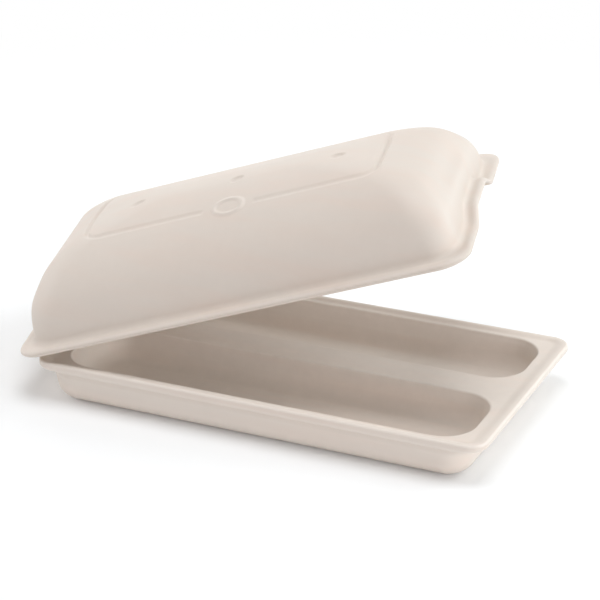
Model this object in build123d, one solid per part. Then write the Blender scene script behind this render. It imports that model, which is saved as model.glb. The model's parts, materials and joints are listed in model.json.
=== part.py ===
from build123d import *
import os
from math import cos, radians, sin

# A glazed ceramic cloche for two long loaves: a low tray and a domed lid that lifts off it.
# The origin is the middle of the tray's underside, with +X along the length and +Z up.

# Tray, outside
tray_length = 390.0
tray_width = 222.0
tray_height = 34.4
rim_height = 7.4
rim_corner = 16.0
rim_round = 1.8
end_ledge = 10.5
side_ledge = 2.0
end_foot_inset = 5.0
side_foot_inset = 1.6
wall_corner = 22.0
foot_round = 14.0

# Tray, inside
lip_width = 6.0
lip_run = 3.0
lip_round = 0.9
land_drop = 2.4
end_land = 19.0
side_land = 12.0
ridge_width = 34.0
trough_depth = 24.5
trough_corner = 28.0
trough_floor_inset = 6.0
trough_floor_round = 15.0
trough_edge_round = 1.6

# Two hollows under the ridge between the troughs, with a web between them
relief_end = 45.0
relief_web = 20.0
relief_depth = 15.0
relief_top_inset = 5.0
relief_corner = 14.0

# Lid, outside
lid_length = tray_length
lid_width = tray_width
lid_corner = 23.5
flange_height = 5.0
flange_round = 1.8
side_reach = 12.5
end_reach = 13.0
dome_height = 75.0
dome_corner = 22.0
lid_wall = 6.0

# Grip at each end of the lid, where the flange rises clear of the tray
grip_rise = 11.0
grip_flat = 42.0
grip_run = 26.5

# Dome sections from the seat to the crown, as shares of its height, length, width and corner
height_shares = (0.0, 0.20, 0.40, 0.55, 0.70, 0.81, 0.88, 0.95, 0.99)
length_shares = (1.0, 1.0, 0.99, 0.955, 0.902, 0.828, 0.718, 0.54, 0.388)
width_shares = (1.0, 0.978, 0.925, 0.85, 0.722, 0.573, 0.44, 0.258, 0.108)
corner_shares = (1.0, 1.0, 1.2, 1.15, 1.0, 0.91, 0.82, 0.6, 0.4)

# Line pressed into the crown, broken at the oval in front and over a longer stretch behind
line_height_share = 0.88
line_round = 1.4
front_gap = 48.0
back_gap = 146.0
mark_shift = 3.5

# Raised oval ring in the front break
oval_length = 24.4
oval_width = 20.4
oval_line = 2.6
oval_rise = 0.8
oval_root = 3.0
oval_lean = 19.0

# Leaf-shaped dimples along the crown
leaf_count = 3
leaf_spacing = 89.0
leaf_length = 14.0
leaf_width = 5.2
leaf_turn = 12.0
leaf_depth = 1.0
leaf_shift_x = 6.0
leaf_shift_y = -10.0

# Seat of the lid on the tray, and the tilted way in which it lifts from there
seat_gap = 0.3
swing_spot_x = -171.5
swing_spot_y = -176.5
swing_bearing = 18.3
swing_climb = 33.6
swing_open = 22.0

# Overrun of every cut past the face that it opens
overrun = 1.0

# How much of a wall one rounding may take, and of a dome section's width its corner
round_limit_share = 0.36
corner_limit_share = 0.45

# A face this near to upright, or an edge this near to it, counts as upright
upright_share = 0.99


def plate(length, width, corner, level):
    """Rounded rectangle, flat at one level."""
    return Pos(0, 0, level) * RectangleRounded(length, width, corner)


def tapered(length, width, corner, wide_level, narrow_level, end_inset, side_inset):
    """Straight-sided block between a wide level and a narrow one."""
    wide = plate(length, width, corner, wide_level)
    narrow_corner = corner - side_inset
    narrow = plate(length - 2 * end_inset, width - 2 * side_inset, narrow_corner, narrow_level)
    return loft([wide.face(), narrow.face()], ruled=True)


def top_edges(solid):
    return solid.edges().group_by(Axis.Z)[-1]


def bottom_edges(solid):
    return solid.edges().group_by(Axis.Z)[0]


def inner_edges(solid, level):
    """Edges of the openings in the flat face at one level."""
    edges = ShapeList()
    for face in solid.faces().filter_by_position(Axis.Z, level, level).filter_by(Axis.Z):
        for wire in face.inner_wires():
            edges += wire.edges()
    return edges


def trough_width():
    """What the lands at the sides and the ridge leave for each of the two troughs."""
    return (tray_width - 2 * side_land - ridge_width) / 2


def make_trough():
    """Space for one loaf, from above the land down to its rounded floor."""
    land = tray_height - land_drop
    floor = land - trough_depth
    drop_share = (trough_depth + overrun) / trough_depth
    inset = trough_floor_inset * drop_share
    trough = tapered(
        tray_length - 2 * end_land + 2 * (inset - trough_floor_inset),
        trough_width() + 2 * (inset - trough_floor_inset),
        trough_corner,
        land + overrun,
        floor,
        inset,
        inset,
    )
    return fillet(bottom_edges(trough), trough_floor_round)


def make_tray():
    rim_underside = tray_height - rim_height
    rim = extrude(plate(tray_length, tray_width, rim_corner, rim_underside), rim_height)
    rim = fillet(top_edges(rim) + bottom_edges(rim), min(rim_round, round_limit_share * rim_height))

    wall_length = tray_length - 2 * end_ledge
    wall_width = tray_width - 2 * side_ledge
    wall_top = rim_underside + rim_round
    wall = tapered(wall_length, wall_width, wall_corner, wall_top, 0, end_foot_inset, side_foot_inset)
    wall = fillet(bottom_edges(wall), foot_round)
    tray = rim + wall

    land = tray_height - land_drop
    slope = lip_run * (land_drop + overrun) / land_drop
    pocket = tapered(
        tray_length - 2 * lip_width + 2 * (slope - lip_run),
        tray_width - 2 * lip_width + 2 * (slope - lip_run),
        rim_corner - lip_width,
        tray_height + overrun,
        land,
        slope,
        slope,
    )
    tray -= pocket
    tray = fillet(inner_edges(tray, tray_height), min(lip_round, round_limit_share * lip_width))

    offset = (ridge_width + trough_width()) / 2
    for side in (-1, 1):
        tray -= Pos(0, side * offset, 0) * make_trough()
    tray = fillet(inner_edges(tray, land), min(trough_edge_round, round_limit_share * ridge_width))

    relief_length = (tray_length - 2 * relief_end - relief_web) / 2
    relief = tapered(
        relief_length,
        ridge_width,
        relief_corner,
        -overrun,
        relief_depth,
        relief_top_inset,
        relief_top_inset,
    )
    shift = (relief_length + relief_web) / 2
    return tray - Pos(-shift, 0, 0) * relief - Pos(shift, 0, 0) * relief


def dome(base_length, base_width, height, floor_level):
    """Closed dome through rounded sections, from its floor to its crown."""
    sections = []
    for share, long, wide, corner in zip(height_shares, length_shares, width_shares, corner_shares):
        level = share * height if share else floor_level
        length, width = long * base_length, wide * base_width
        radius = min(corner * dome_corner, corner_limit_share * width)
        sections.append(plate(length, width, radius, level).face())
    return loft(sections)


def flange_strip():
    """Side view of the flange from an end, with the grip's rise in its middle."""
    half_width = lid_width / 2 + overrun
    half_flat = grip_flat / 2
    foot = half_flat + grip_run
    edges = []
    for level in (0, flange_height):
        spots = (-half_width, -foot, -half_flat, half_flat, foot, half_width)
        rises = (0, 0, grip_rise, grip_rise, 0, 0)
        points = [Vector(spot, level + rise) for spot, rise in zip(spots, rises)]
        for start, end in zip(points, points[1:]):
            if start.Y == end.Y:
                edges.append(Line(start, end))
            else:
                edges.append(Spline(start, end, tangents=[(1, 0), (1, 0)]))
        if level == 0:
            low = points
    edges.append(Line(low[0], points[0]))
    edges.append(Line(low[-1], points[-1]))
    return Plane.YZ * make_face(Curve() + edges)


def lip_edges(flange):
    """Edges all round the flange's outer face, above and below."""
    edges = ShapeList()
    for face in flange.faces():
        if abs(face.normal_at().Z) < 1 - upright_share:
            edges += [edge for edge in face.edges() if abs(edge.tangent_at(1 / 2).Z) < upright_share]
    return edges


def line_section(dome_length, dome_width):
    """Half length, half width, corner and level of the dome section that carries the marks."""
    number = height_shares.index(line_height_share)
    return (
        length_shares[number] * dome_length / 2,
        width_shares[number] * dome_width / 2,
        corner_shares[number] * dome_corner,
        line_height_share * dome_height,
    )


def pressed_line(dome_length, dome_width):
    """Round groove along one section of the dome, in a left and a right half."""
    half_length, half_width, corner, level = line_section(dome_length, dome_width)
    groove = Part()
    for side in (-1, 1):
        path = FilletPolyline(
            (side * back_gap / 2 + mark_shift, half_width, level),
            (side * half_length, half_width, level),
            (side * half_length, -half_width, level),
            (side * front_gap / 2 + mark_shift, -half_width, level),
            radius=corner,
        )
        groove += sweep(Plane(path @ 0, z_dir=path % 0) * Circle(line_round), path=path)
        groove += Pos(path @ 0) * Sphere(line_round) + Pos(path @ 1) * Sphere(line_round)
    return groove


def oval_ring(dome_length, dome_width):
    """Oval rib that follows the dome, where the front of the line breaks."""
    lean = radians(oval_lean)
    half_length, half_width, corner, level = line_section(dome_length, dome_width)
    middle = Vector(mark_shift, -half_width, level)
    face = Plane(middle, x_dir=(1, 0, 0), z_dir=(0, -sin(lean), cos(lean)))
    ring = Ellipse(oval_length / 2, oval_width / 2)
    ring -= Ellipse(oval_length / 2 - oval_line, oval_width / 2 - oval_line)
    column = extrude(face.offset(-oval_root) * ring, oval_root + oval_rise + overrun)
    skin = dome(
        dome_length + 2 * oval_rise, dome_width + 2 * oval_rise, dome_height + oval_rise, 0
    )
    return column & skin


def leaf_dimples(outer):
    """Shallow leaves in a row along the crown, each cut to one depth below its own spot."""
    tips = (-leaf_length / 2, 0), (leaf_length / 2, 0)
    sides = [SagittaArc(*tips, leaf_width / 2), SagittaArc(*tips, -leaf_width / 2)]
    leaf = Rot(0, 0, leaf_turn) * make_face(Curve() + sides)
    dimples = Part()
    for number in range(leaf_count):
        along = leaf_shift_x + (number - (leaf_count - 1) / 2) * leaf_spacing
        upright = Axis((along, leaf_shift_y, 0), (0, 0, 1))
        surface = max(point.Z for point, _ in outer.find_intersection_points(upright))
        spot = Pos(along, leaf_shift_y, surface - leaf_depth)
        dimples += extrude(spot * leaf, leaf_depth + overrun)
    return dimples


def swung(piece):
    """Seat a piece of the lid on the tray, then swing it up to where the lid is held."""
    spot = Vector(swing_spot_x, swing_spot_y, tray_height)
    bearing, climb = radians(swing_bearing), radians(swing_climb)
    way = Vector(sin(bearing) * cos(climb), -cos(bearing) * cos(climb), sin(climb))
    seated = Pos(0, 0, tray_height + seat_gap) * piece
    return seated.rotate(Axis(spot, way), swing_open)


def make_lid():
    flange_top = flange_height + grip_rise
    outline = extrude(plate(lid_length, lid_width, lid_corner, 0), flange_top)
    strip = extrude(flange_strip(), lid_length / 2 + overrun, both=True)
    flange = outline & strip
    flange = fillet(lip_edges(flange), min(flange_round, round_limit_share * flange_height))

    dome_length = lid_length - 2 * end_reach
    dome_width = lid_width - 2 * side_reach
    outer = dome(dome_length, dome_width, dome_height, 0)
    inner = dome(
        dome_length - 2 * lid_wall, dome_width - 2 * lid_wall, dome_height - lid_wall, -overrun
    )
    lid = swung(flange) + swung(outer) - swung(inner)
    lid -= swung(pressed_line(dome_length, dome_width))
    lid -= swung(leaf_dimples(outer))
    return lid + swung(oval_ring(dome_length, dome_width))


os.makedirs("parts", exist_ok=True)
for name, solid in (("tray", make_tray()), ("lid", make_lid())):
    export_step(solid, f"parts/{name}.step")
    print(name, solid.is_valid, len(solid.solids()), round(solid.volume))
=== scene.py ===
import json
import math

import bmesh
import bpy
import numpy as np
from mathutils import Matrix, Vector
from mathutils.geometry import tessellate_polygon


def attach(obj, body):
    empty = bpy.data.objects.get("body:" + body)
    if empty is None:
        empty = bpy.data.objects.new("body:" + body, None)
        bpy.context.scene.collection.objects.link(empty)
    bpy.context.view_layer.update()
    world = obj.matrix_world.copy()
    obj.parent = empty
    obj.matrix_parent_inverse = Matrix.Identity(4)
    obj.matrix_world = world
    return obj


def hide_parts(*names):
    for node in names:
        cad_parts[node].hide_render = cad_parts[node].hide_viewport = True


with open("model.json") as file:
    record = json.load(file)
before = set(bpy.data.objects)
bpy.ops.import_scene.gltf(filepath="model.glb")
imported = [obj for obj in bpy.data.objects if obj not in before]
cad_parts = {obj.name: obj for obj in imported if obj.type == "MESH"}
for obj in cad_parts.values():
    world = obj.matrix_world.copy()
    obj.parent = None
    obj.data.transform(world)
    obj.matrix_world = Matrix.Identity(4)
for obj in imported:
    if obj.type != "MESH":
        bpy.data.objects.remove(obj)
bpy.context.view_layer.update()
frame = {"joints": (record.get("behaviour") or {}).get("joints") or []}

mm = 0.001
quarter = math.pi / 2

# What a user would change is in the dictionary above each piece, in mm and degrees.

view = {
    "lens": 132.0,
    "sensor": 36.0,
    "azimuth": 24.34,       # from the front towards the right
    "elevation": 23.12,
    "across": -4.37,        # where the camera stands, along its own axes
    "height": 72.57,
    "distance": 1829.7,
    "clip": (0.05, 60.0),   # in metres
}


def placeCamera():
    turn, lift = math.radians(view["azimuth"]), math.radians(view["elevation"])
    right = Vector((math.cos(turn), math.sin(turn), 0))
    level = Vector((math.sin(turn), -math.cos(turn), 0))
    back = level * math.cos(lift) + Vector((0, 0, math.sin(lift)))
    up = back.cross(right)
    spot = right * view["across"] + up * view["height"] + back * view["distance"]
    data = bpy.data.cameras.new("photoCamera")
    data.lens, data.sensor_width = view["lens"], view["sensor"]
    data.clip_start, data.clip_end = view["clip"]
    camera = bpy.data.objects.new("photoCamera", data)
    camera.matrix_world = Matrix.Translation(spot * mm) @ Matrix((right, up, back)).transposed().to_4x4()
    bpy.context.scene.collection.objects.link(camera)
    bpy.context.scene.camera = camera


placeCamera()
bpy.context.scene.view_settings.view_transform = "Standard"
print("camera placed")


# Materials: sums on wires add Math nodes, every other node comes from the Recipe

class Wire:
    def __init__(self, recipe, socket):
        self.recipe, self.socket = recipe, socket

    def math(self, operation, other):
        return self.recipe.node("ShaderNodeMath", {"operation": operation}, {0: self, 1: other})

    def __add__(self, other):
        return self.math("ADD", other)

    def __mul__(self, other):
        return self.math("MULTIPLY", other)

    def __sub__(self, other):
        return self.math("SUBTRACT", other)

    def __rsub__(self, other):
        return self.recipe.node("ShaderNodeMath", {"operation": "SUBTRACT"}, {0: other, 1: self})

    __radd__ = __add__
    __rmul__ = __mul__


class Recipe:
    def __init__(self, tree):
        self.tree = tree

    def node(self, kind, settings, values, out=0):
        # its settings first, then a number or a wire on each input named or numbered in values
        made = self.tree.nodes.new(kind)
        for name, value in settings.items():
            setattr(made, name, value)
        for name, value in values.items():
            socket = made.inputs[name]
            if isinstance(value, Wire):
                self.tree.links.new(value.socket, socket)
            else:
                socket.default_value = value
        return Wire(self, made.outputs[out]) if made.outputs else None

    def blend(self, share, first, second):
        return self.node("ShaderNodeMix", {"data_type": "RGBA"}, {0: share, 6: first, 7: second}, out=2)

    def noise(self, place, kind):
        scale, detail, rough = kind
        values = {"Vector": place, "Scale": scale, "Detail": detail, "Roughness": rough}
        return self.node("ShaderNodeTexNoise", {}, values)

    def scaled(self, vector, factor):
        return self.node("ShaderNodeVectorMath", {"operation": "SCALE"}, {0: vector, "Scale": factor})

    def mark(self, name):
        # a number that the mesh carries at each point
        return self.node("ShaderNodeAttribute", {"attribute_name": name}, {}, out=2)


def newMaterial(name):
    material = bpy.data.materials.new(name)
    material.use_nodes = True
    material.node_tree.nodes.clear()
    return material, Recipe(material.node_tree)


glaze = {
    "body": (0.687, 0.625, 0.567, 1),       # warm off-white
    "run": (0.700, 0.610, 0.545, 1),        # faint warm run marks along the length
    "thinAndHighlight": (0.739, 0.682, 0.626, 1),       # lighter where it pulls away from an edge, with a painted highlight there and on the raised ring
    "paintedShade": (0.621, 0.552, 0.492, 1),     # painted shade in the pressed line, creases, hollows and under the lip
    "clay": (0.600, 0.505, 0.412),          # unglazed foot and seat
    "trayLift": 1.08,                       # the tray's copy of the glaze is made a little lighter than the lid's
    # noise: scale, detail, roughness
    "cloudNoise": (14.0, 3.0, 0.55),
    "spotNoise": (95.0, 4.0, 0.6),
    "peelNoise": (900.0, 2.0, 0.5),
    "grainNoise": (2600.0, 2.0, 0.6),
    "runNoise": (55.0, 3.0, 0.55),
    "runStretch": (0.10, 1.0, 1.0),
    "runFrom": 0.42,                        # the noise at which a run mark starts, and how sharply
    "runSharp": 4.0,
    "runShare": 0.75,
    # an even share, and a share that noise breaks up
    "thinAndHighlightBreak": (0.55, 0.6),
    "paintedShadeBreak": (0.7, 0.5),
    "clayBreak": (0.94, 0.12),
    "cloud": 0.035,                         # slow changes of tone, and how much more on the land
    "landCloud": 0.07,
    "rough": 0.50,
    "roughSpread": 0.14,
    "thinSmooth": 0.04,
    "clayRough": 0.75,
    "coat": 0.08,
    "coatRough": 0.42,
    "specular": 0.38,
    "peel": 0.05,                           # heights in mm: orange peel, slow wave, clay grain
    "wave": 0.12,
    "grain": 0.06,
    "bump": 0.6,
}


def makeGlaze(name, offset, lift=1.0):
    material, recipe = newMaterial(name)
    place = recipe.node("ShaderNodeTexCoord", {}, {}, out="Object")
    shift = recipe.node("ShaderNodeVectorMath", {"operation": "ADD"}, {0: place, 1: offset})
    stretch = {0: shift, 1: glaze["runStretch"]}
    along = recipe.node("ShaderNodeVectorMath", {"operation": "MULTIPLY"}, stretch)
    cloud = recipe.noise(shift, glaze["cloudNoise"])
    spots = recipe.noise(shift, glaze["spotNoise"])
    peel = recipe.noise(shift, glaze["peelNoise"])
    grain = recipe.noise(shift, glaze["grainNoise"])
    run = (recipe.noise(along, glaze["runNoise"]) - glaze["runFrom"]) * glaze["runSharp"]
    run = run.math("MINIMUM", 1.0).math("MAXIMUM", 0.0)

    even, broken = glaze["thinAndHighlightBreak"]
    # thin glaze and painted highlight: lighter on rounded edges and on the raised ring
    thinAndHighlight = (recipe.mark("thinGlazeAndHighlight") * (even + broken * spots)).math("MINIMUM", 1.0)
    # painted shade: darker in the pressed line, the leaves, creases, hollows and under the lip
    even, broken = glaze["paintedShadeBreak"]
    paintedShade = (recipe.mark("paintedShadeMark") * (even + broken * cloud)).math("MINIMUM", 1.0)
    even, broken = glaze["clayBreak"]
    clay = recipe.scaled(glaze["clay"], even + broken * grain)
    bare = recipe.mark("bareClay")

    tone = recipe.blend(run * glaze["runShare"], glaze["body"], glaze["run"])
    # the colour gets thin glaze with a painted highlight, then painted shade
    tone = recipe.blend(thinAndHighlight, tone, glaze["thinAndHighlight"])
    tone = recipe.blend(paintedShade, tone, glaze["paintedShade"])
    amount = glaze["cloud"] + recipe.mark("inside") * glaze["landCloud"]
    tone = recipe.scaled(tone, lift + (cloud + spots - 1.0) * amount)
    tone = recipe.blend(bare, tone, clay)
    rough = glaze["rough"] + (spots - 0.5) * glaze["roughSpread"] - glaze["thinSmooth"] * thinAndHighlight
    rough = rough + bare * (glaze["clayRough"] - glaze["rough"])
    height = peel * (glaze["peel"] * mm) + cloud * (glaze["wave"] * mm)
    height = height + bare * grain * (glaze["grain"] * mm)
    bump = recipe.node("ShaderNodeBump", {}, {"Strength": glaze["bump"], "Distance": 1.0, "Height": height})
    values = {
        "Base Color": tone,
        "Roughness": rough,
        "Coat Weight": glaze["coat"] * (1 - bare),
        "Coat Roughness": glaze["coatRough"],
        "Specular IOR Level": glaze["specular"],
        "Normal": bump,
    }
    shader = recipe.node("ShaderNodeBsdfPrincipled", {}, values)
    recipe.node("ShaderNodeOutputMaterial", {}, {"Surface": shader})
    return material


# Meshes: every piece is a stack of rounded rectangles, joined row to row. A row has its height,
# half length, half width and corner, and then the marks below; the lid's rows also have the share
# of the grip's rise that they take.

markNames = ("thinGlazeAndHighlight", "paintedShadeMark", "bareClay", "inside")


def rowSize(counts):
    # points in one row, from the points along a long side, a short side and a corner
    return 2 * counts[0] + 2 * counts[1] + 4 * counts[2]


def outline(a, b, r, counts):
    # one rounded rectangle, anticlockwise from the left of the front
    long, short, corner = counts
    r = max(min(r, a, b), 0.0)
    sx, sy = a - r, b - r

    def run(x0, y0, x1, y1, n):
        t = np.arange(n)[:, None] / n
        return (1 - t) * np.array((x0, y0)) + t * np.array((x1, y1))

    def bend(x, y, start):
        t = start + np.arange(corner) / corner * quarter
        return np.column_stack((x + r * np.cos(t), y + r * np.sin(t)))

    return np.vstack((
        run(-sx, -b, sx, -b, long), bend(sx, -sy, -quarter),
        run(a, -sy, a, sy, short), bend(sx, sy, 0),
        run(sx, b, -sx, b, long), bend(-sx, sy, quarter),
        run(-a, sy, -a, -sy, short), bend(-sx, -sy, 2 * quarter),
    ))


def curveRows(rows, stepAt):
    # a smooth curve through table rows, and rows along it at the spacing that stepAt gives
    fineness, shortest = 120, 0.4
    rows = np.array(rows, float)
    gaps = np.sqrt(np.hypot(np.diff(rows[:, 0]), np.diff(rows[:, 2])))
    knots = np.concatenate(([0], np.cumsum(gaps)))
    slopes = np.gradient(rows, knots, axis=0, edge_order=2)
    dense = []
    for i in range(len(rows) - 1):
        h = knots[i + 1] - knots[i]
        t = np.linspace(0, 1, fineness, endpoint=i == len(rows) - 2)[:, None]
        dense.append(
            (2 * t**3 - 3 * t**2 + 1) * rows[i] + (t**3 - 2 * t**2 + t) * h * slopes[i]
            + (3 * t**2 - 2 * t**3) * rows[i + 1] + (t**3 - t**2) * h * slopes[i + 1]
        )
    dense = np.vstack(dense)
    walked = np.concatenate(([0], np.cumsum(np.hypot(np.diff(dense[:, 0]), np.diff(dense[:, 2])))))
    stops = [0.0]
    while stops[-1] < walked[-1]:
        here = np.array([np.interp(stops[-1], walked, dense[:, k]) for k in range(4)])
        stops.append(stops[-1] + stepAt(here))
    stops = np.array(stops[:-1] + [walked[-1]])
    if stops[-1] - stops[-2] < shortest * (stops[-2] - stops[-3]):
        stops = np.delete(stops, -2)
    return np.column_stack([np.interp(stops, walked, dense[:, k]) for k in range(4)])


def stripFaces(rows, count, first, flip=False):
    # quads between neighbouring rows of one closed stack
    row = first + np.arange(rows - 1)[:, None] * count
    col = np.arange(count)[None, :]
    after = (col + 1) % count
    quads = np.stack((row + col, row + after, row + count + after, row + count + col), axis=-1)
    quads = quads.reshape(-1, 4)
    return quads[:, ::-1] if flip else quads


def fillFlat(points, loops, upward):
    # triangles for a flat face with holes; loops are arrays of point numbers
    order = np.concatenate(loops)
    found = tessellate_polygon([[Vector(points[i]) for i in loop] for loop in loops])
    faces = []
    for face in found:
        i, j, k = (order[n] for n in face)
        p, q, s = points[i], points[j], points[k]
        turn = (q[0] - p[0]) * (s[1] - p[1]) - (q[1] - p[1]) * (s[0] - p[0])
        faces.append((i, j, k) if (turn > 0) == upward else (i, k, j))
    return faces


def buildPiece(name, points, faces, marks, place):
    weld, sliver = 0.004 * mm, 0.002 * mm
    mesh = bpy.data.meshes.new(name)
    mesh.from_pydata((points * mm).tolist(), [], [tuple(int(i) for i in face) for face in faces])
    for key, values in marks.items():
        mesh.attributes.new(key, "FLOAT", "POINT").data.foreach_set("value", values.astype(np.float32))
    work = bmesh.new()
    work.from_mesh(mesh)
    bmesh.ops.remove_doubles(work, verts=work.verts, dist=weld)
    bmesh.ops.dissolve_degenerate(work, edges=work.edges, dist=sliver)
    for face in work.faces:
        face.smooth = True
    work.to_mesh(mesh)
    openEdges = sum(1 for edge in work.edges if not edge.is_manifold)
    work.free()
    mesh.transform(place)
    piece = bpy.data.objects.new(name, mesh)
    bpy.context.scene.collection.objects.link(piece)
    print(name, len(mesh.vertices), "points,", openEdges, "open edges")
    return piece


def bell(distance, halfWidth):
    # smooth bump, 1 in the middle and 0 from the half width on
    t = np.clip(np.abs(distance) / halfWidth, 0, 1)
    return 0.5 + 0.5 * np.cos(np.pi * t)


def smoothStep(t):
    t = np.clip(t, 0, 1)
    return t * t * (3 - 2 * t)


def arc(steps, first=0):
    # angles of a quarter turn in equal steps
    return [step / steps * quarter for step in range(first, steps + 1)]


lid = {
    "rim": (195.0, 111.0, 23.5),            # half length, half width, corner
    "foot": (182.0, 98.5, 22.0),            # the dome where it meets the flange
    "height": 75.0,
    "wall": 6.0,
    "flange": 5.0,
    "flangeRound": 2.3,                     # under the lip
    "lipWidth": 4.6,                        # the lip's soft upper round
    "flangeFillet": 4.6,
    "flangeDip": 0.35,                      # shallow gutter between the lip and the dome
    "seatRound": 1.2,
    "seatStep": (0.012, 0.01),              # shares of the overhang in which the seat meets the grip
    "gripRise": 11.0,
    "gripFlat": 21.0,
    "gripRun": 26.5,
    "gripFades": 44.0,                      # height at which the dome no longer feels the grip
    # share of the height, length, width and corner, from the seat to the crown
    "sections": (
        (0.00, 1.006, 1.000, 1.00), (0.20, 1.006, 0.978, 1.00), (0.40, 0.995, 0.925, 1.20),
        (0.55, 0.955, 0.850, 1.15), (0.70, 0.898, 0.722, 1.00), (0.81, 0.816, 0.573, 0.91),
        (0.88, 0.722, 0.440, 0.82), (0.95, 0.566, 0.258, 0.92), (0.99, 0.400, 0.108, 0.44),
    ),
    "cornerMost": 0.9,                      # largest corner as a share of the half width
    "counts": (290, 110, 20),               # points along a long side, a short side and a corner
    # spacing of the rows by half width, the first that fits: inside, then outside
    "innerSteps": ((40.0, 1.1), (math.inf, 1.6)),
    "outerSteps": ((39.34, 0.62), (47.34, 0.42), (55.34, 0.62), (math.inf, 1.7)),
    "line": (129.7, 44.3, 11.5),            # pressed line: half length, half width, corner
    "lineShift": (-1.4, 1.0),
    "lineBulge": (6.0, 1.5),                # how far its left and right corners draw in
    "lineDepth": (0.70, 2.1),               # along the sides, at the ends
    "lineTurn": (0.3, 0.4),                 # how the depth changes round a corner
    "lineHalf": 3.8,
    "frontGap": 24.0,
    "backGap": 73.0,
    "gapShift": 1.2,
    "oval": (12.4, 8.7),
    "ovalSpot": (2.2, -43.3, 66.0),
    "ovalRise": 1.25,
    "ovalHalf": 3.3,
    "ovalLean": 19.0,
    # the raised ring is lightened: thin glaze and a painted highlight
    "ovalThinAndHighlight": 0.6,
    "leafSpots": ((-85.7, -6.8), (4.1, -7.9), (91.1, -3.6)),
    "leafHalf": (7.2, 5.0),
    "leafTurn": 30.0,
    "leafDepth": 1.5,
    # how strongly the glaze thins with a painted highlight, and how much shade is painted: in the line and
    # the leaves, and from the seat outwards
    "pressShade": (0.05, 0.08),
    "seatThin": 0.8,
    "underShade": 0.5,
    "lipThinAndHighlight": 0.35,
    "lipShade": 0.5,
    "filletShade": 0.15,
    "insideShare": 0.4,
    "noiseShift": (3.1, 7.7, 1.9),          # another part of the same noise than on the tray
    "seatHeight": 34.7,                     # the tray's rim and the running gap above it
    "swing": 22.0,
}


def domeTable(shrink):
    # table rows of height, half length, half width and corner, closed at the crown
    rows = []
    length, width, corner = lid["foot"][0] - shrink, lid["foot"][1] - shrink, lid["foot"][2]
    height = lid["height"] - shrink
    for share, long, wide, bend in lid["sections"]:
        turn = min(bend * corner, lid["cornerMost"] * wide * width)
        rows.append((share * height, long * length, wide * width, turn))
    (z0, a0, b0, _), (z1, a1, b1, r1) = rows[-2:]
    sag = (z1 - z0) / (b0**2 - b1**2)
    top, reach = z1 + sag * b1**2, (a0 - a1) / (b0 - b1)
    for share in (0.66, 0.33, 0.0):
        b = share * b1
        rows.append((top - sag * b**2, a1 - reach * (b1 - b), b, share * r1))
    return rows


def stepFrom(steps):
    # the spacing for a row, by its half width
    return lambda row: next(step for most, step in steps if row[2] <= most)


def gripRise(y):
    return lid["gripRise"] * (1 - smoothStep((np.abs(y) - lid["gripFlat"]) / lid["gripRun"]))


def lidRows():
    # from the crown's inside down to the seat, out under the flange, over the lip and up the dome
    rim, foot, wall = lid["rim"], lid["foot"], lid["wall"]
    thick, soft, fillet, seat = lid["flange"], lid["flangeRound"], lid["flangeFillet"], lid["seatRound"]
    outer = curveRows(domeTable(0.0), stepFrom(lid["outerSteps"]))
    inner = curveRows(domeTable(wall), stepFrom(lid["innerSteps"]))
    low = thick - lid["flangeDip"] + fillet
    join = [np.interp(low, outer[:, 0], outer[:, k]) for k in (1, 2, 3)]
    inside = lid["insideShare"]
    rows = []

    def between(share, z, lift, thinAndHighlight=0.0, paintedShade=0.0, bare=0.0, base=foot):
        size = [f + (r - f) * share for f, r in zip(base, rim)]
        rows.append((z, *size, lift, thinAndHighlight, paintedShade, bare, 0.0))

    def within(inset, z, thinAndHighlight=0.0, bare=0.0):
        size = (foot[0] - inset, foot[1] - inset, foot[2] - inset * 0.5)
        rows.append((z, *size, 0.0, thinAndHighlight, 0.0, bare, inside))

    for z, a, b, r in inner[::-1]:
        if z > seat * 1.5:                                  # above the seat's round
            rows.append((z, a, b, r, 0.0, 0.0, 0.0, 0.0, inside))
    for turn in arc(4):
        inset, z = wall - seat * (1 - math.cos(turn)), seat * (1 - math.sin(turn))
        within(inset, z, thinAndHighlight=lid["seatThin"], bare=turn / quarter)
    within(wall * 0.5, 0.0, bare=1.0)
    within(0.4, 0.0, bare=1.0)

    reach, (near, step) = rim[1] - foot[1], lid["seatStep"]
    for share in (0.25, 0.5, 0.75, 1.0):                    # the dome's foot under a raised grip
        between(near + step * share, 0.0, share, bare=1.0 - 0.5 * share)
    for share in (0.1, 0.3, 0.6, 1 - soft / reach):
        between(share, 0.0, 1.0, bare=1.0)
    for turn in arc(6, first=1):                            # under the lip, darker with painted shade
        done = turn / quarter
        between(1 - soft * (1 - math.sin(turn)) / reach, soft * (1 - math.cos(turn)), 1.0,
                paintedShade=lid["underShade"] * done, bare=max(0.0, 1 - 2 * done))

    reach, wide, rise = rim[1] - join[1], lid["lipWidth"], thick - soft
    for turn in arc(12):                                    # over the lip: lighter on its round with thin glaze and a painted highlight, darker low on its outer side with painted shade
        share, z = 1 - wide * (1 - math.cos(turn)) / reach, thick - rise * (1 - math.sin(turn))
        between(share, z, 1.0, thinAndHighlight=lid["lipThinAndHighlight"] * math.sin(2 * turn) ** 2,
                paintedShade=lid["lipShade"] * (1 - turn / quarter) ** 2, base=join)
    edge, end = 1 - wide / reach, fillet / reach
    for share in (0.25, 0.5, 0.75):
        z = thick - lid["flangeDip"] * smoothStep(share)
        between(edge + (end - edge) * share, z, 1.0, base=join)
    for turn in arc(7):                                     # the fillet up to the dome, darker in its hollow with painted shade
        between(end * (1 - math.sin(turn)), low - fillet * math.cos(turn), 1.0,
                paintedShade=lid["filletShade"] * math.sin(2 * turn), base=join)
    for z, a, b, r in outer:
        if z > low + 0.8:                                   # clear of the fillet
            lift = 1 - smoothStep((z - low) / (lid["gripFades"] - low))
            rows.append((z, a, b, r, lift, 0.0, 0.0, 0.0, 0.0))
    return rows


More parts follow.
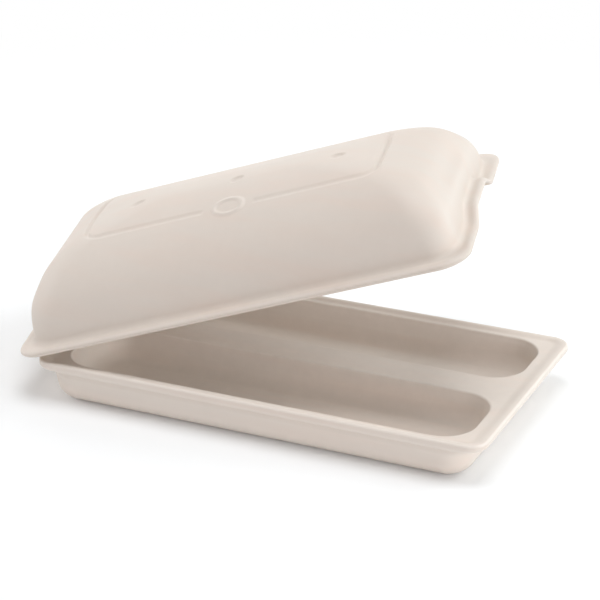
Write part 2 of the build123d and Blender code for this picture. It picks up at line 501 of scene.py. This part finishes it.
def lidPoints():
    rows, counts = lidRows(), lid["counts"]
    size = rowSize(counts)
    points = np.zeros((len(rows), size, 3))
    marks = {name: np.zeros((len(rows), size)) for name in markNames}
    for n, (z, a, b, r, lift, thinAndHighlight, paintedShade, bare, inside) in enumerate(rows):
        flat = outline(a, b, r, counts)
        raised = lift * gripRise(flat[:, 1])
        points[n, :, :2], points[n, :, 2] = flat, z + raised
        level = 1 - raised / lid["gripRise"]
        for name, value in zip(markNames, (thinAndHighlight, paintedShade * level, bare * level, inside)):
            marks[name][n] = value
    first = max(n for n, row in enumerate(rows) if row[4] > 0)      # the last row that feels the grip
    pressMarks(points[first:], marks["thinGlazeAndHighlight"][first:], marks["paintedShadeMark"][first:])
    return points, marks


def ovalDistance(x, y, half):
    # 0 in the middle and 1 on the oval, and about how far from the oval in mm
    far = np.hypot(x / half[0], y / half[1])
    slope = np.hypot(x / half[0] ** 2, y / half[1] ** 2) / np.maximum(far, 1e-6)
    return far, (far - 1) / np.maximum(slope, 1e-6)


def pressedLine(x, y):
    # depth of the line: a rounded rectangle with a gap in front and a longer one behind
    long, wide, corner = lid["line"]
    bow = np.where(x < 0, *lid["lineBulge"]) * np.clip(y / wide, -1, 1) ** 2
    dx = np.abs(x - lid["lineShift"][0]) + bow - (long - corner)
    dy = np.abs(y - lid["lineShift"][1]) - (wide - corner)
    away = np.hypot(np.maximum(dx, 0), np.maximum(dy, 0)) + np.minimum(np.maximum(dx, dy), 0) - corner
    gap = np.where(y < 0, lid["frontGap"], lid["backGap"]) - np.abs(x - lid["gapShift"])
    gap = np.where(dy > dx, np.maximum(gap, 0), 0)
    (sides, ends), (start, pace) = lid["lineDepth"], lid["lineTurn"]
    depth = sides + (ends - sides) * smoothStep(start + pace * (dx - dy) / corner)
    return bell(np.hypot(away, gap), lid["lineHalf"]) * depth


def raisedRing(x, y, z):
    lean, spot = math.radians(lid["ovalLean"]), lid["ovalSpot"]
    over = (y - spot[1]) * math.cos(lean) + (z - spot[2]) * math.sin(lean)
    away = ovalDistance(x - spot[0], over, lid["oval"])[1]
    return bell(away, lid["ovalHalf"]) * (y < 0)


def pressedLeaves(x, y):
    leaves = np.zeros_like(x)
    turn = math.radians(lid["leafTurn"])
    for px, py in lid["leafSpots"]:
        s = (x - px) * math.cos(turn) + (y - py) * math.sin(turn)
        t = (y - py) * math.cos(turn) - (x - px) * math.sin(turn)
        leaves += bell(ovalDistance(s, t, lid["leafHalf"])[0] ** 2, 1.0)
    return leaves


def pressMarks(top, thinAndHighlight, paintedShade):
    # move the crown's points along their normals; paint shade into the pressed line and the leaves, and
    # lighten the raised ring with thin glaze and a painted highlight
    around = np.roll(top, -1, axis=1) - np.roll(top, 1, axis=1)
    normal = np.cross(around, np.gradient(top, axis=0))
    normal /= np.maximum(np.linalg.norm(normal, axis=2, keepdims=True), 1e-9)
    x, y, z = top[..., 0], top[..., 1], top[..., 2]
    line, ring, leaves = pressedLine(x, y), raisedRing(x, y, z), pressedLeaves(x, y)
    inLine, inLeaves = lid["pressShade"]
    # painted shade in the line and the leaves
    paintedShade += inLine * line + inLeaves * leaves
    # painted highlight and thin glaze on the raised ring
    thinAndHighlight += lid["ovalThinAndHighlight"] * ring
    push = lid["ovalRise"] * ring - line - lid["leafDepth"] * leaves
    top += normal * push[..., None]


def lidPlace():
    # from the lid's own seat to where the lid is held at rest
    joint = frame["joints"][0]
    spot, way = Vector(joint["pos_m"]), Vector(joint["axis"])
    swing = Matrix.Rotation(math.radians(lid["swing"]), 4, way)
    seat = Matrix.Translation((0, 0, lid["seatHeight"] * mm))
    return Matrix.Translation(spot) @ swing @ Matrix.Translation(-spot) @ seat


def makeLid():
    points, marks = lidPoints()
    rows, count = points.shape[:2]
    faces = stripFaces(rows, count, 0)
    flat = {name: values.reshape(-1) for name, values in marks.items()}
    piece = buildPiece("domeLid", points.reshape(-1, 3), faces, flat, lidPlace())
    piece.data.materials.append(makeGlaze("lidGlaze", lid["noiseShift"]))
    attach(piece, "lid")
    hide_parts("lid")


makeLid()
print("lid made")

tray = {
    "rim": (195.0, 111.0, 16.0),
    "wallTop": (184.5, 109.0, 22.0),
    "footInset": (5.0, 1.6),
    "height": 34.4,
    "band": 7.4,
    "bandRound": 2.4,
    "stepHeight": 5.0,                      # hollow round under the rim
    "ledge": (0.40, 0.78, 0.8),             # shares of the overhang where it levels and ends, its rise
    "footRound": 14.0,
    "soleInset": 2.0,
    "lip": 3.2,                             # where the lip starts to fall, and where it meets the land
    "lipRun": 9.2,
    "endRun": 4.0,                          # the lip slopes further inwards at the ends
    "drop": 2.1,
    "cornerLeast": 4.0,                     # smallest corner of the land
    "hollowLeast": 0.5,                     # and of a hollow
    "trough": (176.0, 41.0, 28.0),
    "troughShift": 58.0,
    "troughDepth": 24.5,
    "troughInset": 6.0,
    "troughRound": 15.0,
    "troughEdge": 1.8,
    "relief": (70.0, 17.0, 14.0),
    "reliefShift": 80.0,
    "reliefDepth": 15.0,
    "reliefInset": 5.0,
    "reliefRound": 2.5,
    "reliefEdge": 0.6,
    "overlap": 0.3,                         # a last row beyond an edge, so that flat faces start flat
    # how strongly the glaze thins with a painted highlight, how much shade is painted in the creases and
    # hollows, and how soon the bare foot ends
    "bareRun": 4.0,
    "ledgeShade": 0.5,
    "bandThinAndHighlight": 0.6,
    "lipThinAndHighlight": 0.5,
    "lipShade": 0.25,
    "edgeThinAndHighlight": 0.8,
    "floorShade": 0.35,
    "noiseShift": (0.0, 0.0, 0.0),
    "counts": (230, 90, 16),
    "troughCounts": (190, 30, 22),
    "reliefCounts": (60, 12, 10),
}


def trayRows():
    # from the sole up the wall, round the rim band and over the lip to the land
    rim, wall, inset = tray["rim"], tray["wallTop"], tray["footInset"]
    height, under = tray["height"], tray["height"] - tray["band"]
    foot, soft, step = tray["footRound"], tray["bandRound"], tray["stepHeight"]
    levels, ends, rise = tray["ledge"]
    rows = []

    def wallAt(z, out, bare=0.0):
        share = 1 - z / under
        size = (wall[0] - inset[0] * share, wall[1] - inset[1] * share, wall[2] - inset[1] * share)
        rows.append((z, *[s + out for s in size], 0.0, 0.0, bare, 0.0))

    def between(share, z, thinAndHighlight=0.0, paintedShade=0.0):
        rows.append((z, *[w + (r - w) * share for w, r in zip(wall, rim)], thinAndHighlight, paintedShade, 0.0, 0.0))

    def within(inward, z, thinAndHighlight=0.0, paintedShade=0.0, inside=0.0, further=0.0):
        corner = max(rim[2] - inward, tray["cornerLeast"])
        rows.append((z, rim[0] - inward - further, rim[1] - inward, corner, thinAndHighlight, paintedShade, 0.0, inside))

    wallAt(0.0, -foot - tray["soleInset"], bare=1.0)
    for turn in arc(12):                                        # the foot's round, bare at its start
        bare = max(0.0, 1 - tray["bareRun"] * turn / quarter)
        wallAt(foot * (1 - math.cos(turn)), -foot * (1 - math.sin(turn)), bare)
    for share in (0.25, 0.5, 0.75, 1.0):
        wallAt(foot + (under - step - foot) * share, 0.0)
    for turn in arc(7, first=1):                                # hollow round from the wall to the ledge, darker with painted shade
        between(levels * (1 - math.cos(turn)), under - step * (1 - math.sin(turn)),
                paintedShade=tray["ledgeShade"] * math.sin(2 * turn))
    for share in (0.5, 1.0):
        between(levels + (ends - levels) * share, under + rise * share)
    # the band's round, lighter with thin glaze and a painted highlight
    for turn in arc(7, first=1):
        between(ends + (1 - ends) * math.sin(turn), under + rise + soft * (1 - math.cos(turn)),
                thinAndHighlight=tray["bandThinAndHighlight"] * math.sin(2 * turn))
    for share in (0.33, 0.66):
        between(1.0, under + rise + soft + (height - under - rise - 2 * soft) * share)
    # the rim's top round, lighter with thin glaze and a painted highlight
    for turn in arc(7):
        within(soft * (1 - math.cos(turn)), height - soft * (1 - math.sin(turn)), thinAndHighlight=math.sin(2 * turn))
    start, run, drop, endRun = tray["lip"], tray["lipRun"], tray["drop"], tray["endRun"]
    for t in np.linspace(0, 1, 15):                             # over the lip and down to the land: lighter at the top with thin glaze and a painted highlight, darker on the slope with painted shade
        within(start + (run - start) * t, height - drop * smoothStep(t),
               thinAndHighlight=tray["lipThinAndHighlight"] * (1 - t), paintedShade=tray["lipShade"] * math.sin(math.pi * t) ** 2,
               inside=t, further=endRun * t)
    within(run + tray["overlap"], height - drop, inside=1.0, further=endRun + tray["overlap"])
    return rows


def hollowRows(kind, level, sign, bare):
    # a trough or a relief: edge round, sloping wall, floor round, then inwards until it closes
    long, wide, corner = tray[kind]
    depth, inset, soft, edge = (tray[kind + part] for part in ("Depth", "Inset", "Round", "Edge"))
    rows = []

    def at(inward, low, thinAndHighlight=0.0, paintedShade=0.0):
        size = (long - inward, wide - inward, max(corner - inward, tray["hollowLeast"]))
        rows.append((level + sign * low, *size, thinAndHighlight, paintedShade, bare, 1.0 - bare))

    at(-edge - tray["overlap"], 0.0)
    # the edge round, lighter with thin glaze and a painted highlight
    for turn in arc(6):
        inward, low = -edge * (1 - math.sin(turn)), edge * (1 - math.cos(turn))
        at(inward, low, thinAndHighlight=tray["edgeThinAndHighlight"] * math.sin(2 * turn))
    lean = math.atan2(inset, depth)
    tight = soft * math.tan((quarter - lean) / 2)               # where the floor round starts on the wall
    wallEnd = depth - tight * math.cos(lean)
    for share in (0.2, 0.4, 0.6, 0.8, 1.0):
        low = edge + (wallEnd - edge) * share
        at(inset * low / depth, low)
    # the floor round, darker with painted shade
    for share in arc(12, first=1):
        turn = lean + (quarter - lean) * share / quarter
        inward, low = inset + tight - soft * math.cos(turn), depth - soft + soft * math.sin(turn)
        at(inward, low, paintedShade=tray["floorShade"] * math.sin(2 * turn))
    z, a, b, r = rows[-1][:4]
    for share in (0.85, 0.65, 0.45, 0.25, 0.1, 0.0):
        rows.append((z, a - b * (1 - share), b * share, r * share, 0.0, 0.0, bare, 1.0 - bare))
    return rows


def stack(rows, counts, shift, points, marks, faces, flip=False):
    # one closed stack of rows; gives the point numbers of its first and last row
    first = sum(len(block) for block in points)
    size = rowSize(counts)
    for z, a, b, r, *values in rows:
        flat = outline(a, b, r, counts) + np.array(shift)
        points.append(np.column_stack((flat, np.full(size, z))))
        for name, value in zip(markNames, values):
            marks[name].append(np.full(size, value))
    faces.extend(stripFaces(len(rows), size, first, flip))
    numbers = np.arange(size)
    return first + numbers, first + (len(rows) - 1) * size + numbers


def makeTray():
    points, faces = [], []
    marks = {name: [] for name in markNames}
    sole, land = stack(trayRows(), tray["counts"], (0, 0), points, marks, faces)
    holes, pockets = [], []
    trough = hollowRows("trough", tray["height"] - tray["drop"], -1, 0.0)
    relief = hollowRows("relief", 0.0, 1, 1.0)
    for side in (-1, 1):
        shift = (0, side * tray["troughShift"])
        holes.append(stack(trough, tray["troughCounts"], shift, points, marks, faces)[0])
    for side in (-1, 1):
        shift = (side * tray["reliefShift"], 0)
        pockets.append(stack(relief, tray["reliefCounts"], shift, points, marks, faces, flip=True)[0])
    points = np.vstack(points)
    faces = [tuple(face) for face in faces]
    faces += fillFlat(points, [land, *holes], True) + fillFlat(points, [sole, *pockets], False)
    flat = {name: np.concatenate(values) for name, values in marks.items()}
    piece = buildPiece("loafTray", points, faces, flat, Matrix.Identity(4))
    piece.data.materials.append(makeGlaze("trayGlaze", tray["noiseShift"], glaze["trayLift"]))
    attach(piece, "tray")
    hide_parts("tray")


makeTray()
print("tray made")

studio = {
    "world": 0.147,
    "worldTone": (1.0, 0.975, 0.96, 1),
    "white": (1, 1, 1, 1),
    "floor": (0.935, 0.955, 0.97, 1),
    "floorLift": 0.05,          # what the camera sees on top of the light on the floor
    "floorReach": 12.0,         # in metres, as are the next three
    "fade": (0.50, 1.10),       # how far out the floor turns plain white
    "lampSize": 1.6,
    "lampDistance": 2.6,
    "lamps": (
        # name, direction it shines from, strength, tone
        ("rightLamp", (0.60, 0.55, 0.60), 27.2, (0.955, 0.992, 1.0)),
        ("topLamp", (0.0, 0.05, 1.0), 30.8, (1.0, 1.0, 1.0)),
        ("leftLamp", (-0.95, -0.10, 0.50), 18.5, (1.0, 0.972, 0.962)),
        ("leftFrontLamp", (-0.85, -0.45, 0.30), 8.0, (1.0, 0.95, 0.93)),
        ("backLamp", (-0.60, 0.60, 0.50), 9.0, (1.0, 0.99, 0.97)),
        ("lowLamp", (0.97, -0.10, 0.22), 24.9, (0.968, 0.994, 1.0)),
        ("frontLamp", (0.60, -0.78, 0.20), 19.2, (1.0, 0.918, 0.902)),
    ),
}


def seenRays(recipe):
    # 1 for what the camera, a reflection or a clear part sees
    camera, glossy, clear = (
        recipe.node("ShaderNodeLightPath", {}, {}, out=ray)
        for ray in ("Is Camera Ray", "Is Glossy Ray", "Is Transmission Ray")
    )
    return camera.math("MAXIMUM", glossy).math("MAXIMUM", clear)


def makeWorld():
    world = bpy.data.worlds.new("studioWorld")
    bpy.context.scene.world = world
    world.use_nodes = True
    world.node_tree.nodes.clear()
    recipe = Recipe(world.node_tree)
    light = {"Color": studio["worldTone"], "Strength": studio["world"]}
    ambient = recipe.node("ShaderNodeBackground", {}, light)
    white = recipe.node("ShaderNodeBackground", {}, {"Color": studio["white"], "Strength": 1.0})
    mixed = recipe.node("ShaderNodeMixShader", {}, {0: seenRays(recipe), 1: ambient, 2: white})
    recipe.node("ShaderNodeOutputWorld", {}, {"Surface": mixed})


def makeFloor():
    material, recipe = newMaterial("paleFloor")
    plain = recipe.node("ShaderNodeBsdfDiffuse", {}, {"Color": studio["floor"]})
    glow, white = (
        recipe.node("ShaderNodeEmission", {}, {"Color": studio["white"], "Strength": strength})
        for strength in (studio["floorLift"], 1.0)
    )
    lifted = recipe.node("ShaderNodeAddShader", {}, {0: plain, 1: glow})
    spot = recipe.node("ShaderNodeTexCoord", {}, {}, out="Object")
    away = recipe.node("ShaderNodeVectorMath", {"operation": "LENGTH"}, {0: spot}, out="Value")
    near, far = studio["fade"]
    fade = recipe.node("ShaderNodeMapRange", {"interpolation_type": "SMOOTHSTEP"},
                       {"Value": away, "From Min": near, "From Max": far})
    ground = recipe.node("ShaderNodeMixShader", {}, {0: fade, 1: lifted, 2: white})
    shown = recipe.node("ShaderNodeMixShader", {}, {0: seenRays(recipe), 1: plain, 2: ground})
    recipe.node("ShaderNodeOutputMaterial", {}, {"Surface": shown})
    mesh = bpy.data.meshes.new("studioFloor")
    reach = studio["floorReach"]
    corners = [(-reach, -reach, 0), (reach, -reach, 0), (reach, reach, 0), (-reach, reach, 0)]
    mesh.from_pydata(corners, [], [(0, 1, 2, 3)])
    floor = bpy.data.objects.new("studioFloor", mesh)
    floor.data.materials.append(material)
    bpy.context.scene.collection.objects.link(floor)


def makeLamps():
    for name, way, power, tone in studio["lamps"]:
        data = bpy.data.lights.new(name, "AREA")
        data.shape, data.size, data.energy, data.color = "SQUARE", studio["lampSize"], power, tone
        lamp = bpy.data.objects.new(name, data)
        way = Vector(way).normalized()
        lamp.location = way * studio["lampDistance"]
        lamp.rotation_euler = way.to_track_quat("Z", "Y").to_euler()
        bpy.context.scene.collection.objects.link(lamp)


makeWorld()
makeFloor()
makeLamps()
print("studio made")
